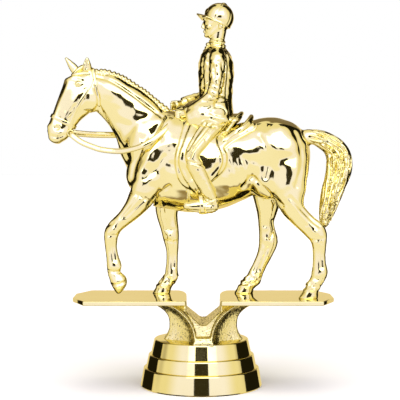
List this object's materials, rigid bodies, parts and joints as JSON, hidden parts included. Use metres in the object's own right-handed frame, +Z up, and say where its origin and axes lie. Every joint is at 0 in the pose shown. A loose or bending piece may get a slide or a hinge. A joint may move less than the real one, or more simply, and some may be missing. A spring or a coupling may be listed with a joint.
{
  "type": "figurine trophy",
  "caption": "Gold-plated moulded trophy topper: a rider in cap and jacket on a walking horse, on plates over a forked bracket and a stepped round base.",
  "frame": {"origin": "middle of the round base's underside", "axes": "+Z up; the horse faces -X; its near (left) side faces -Y"},
  "size_m": [0.1033, 0.0414, 0.1301],
  "materials": {
    "gold_plating": "bright vacuum-metallised gold over moulded plastic"
  },
  "bodies": {
    "root": {"horse_and_rider_trophy": "gold_plating"}
  },
  "joints": []
}
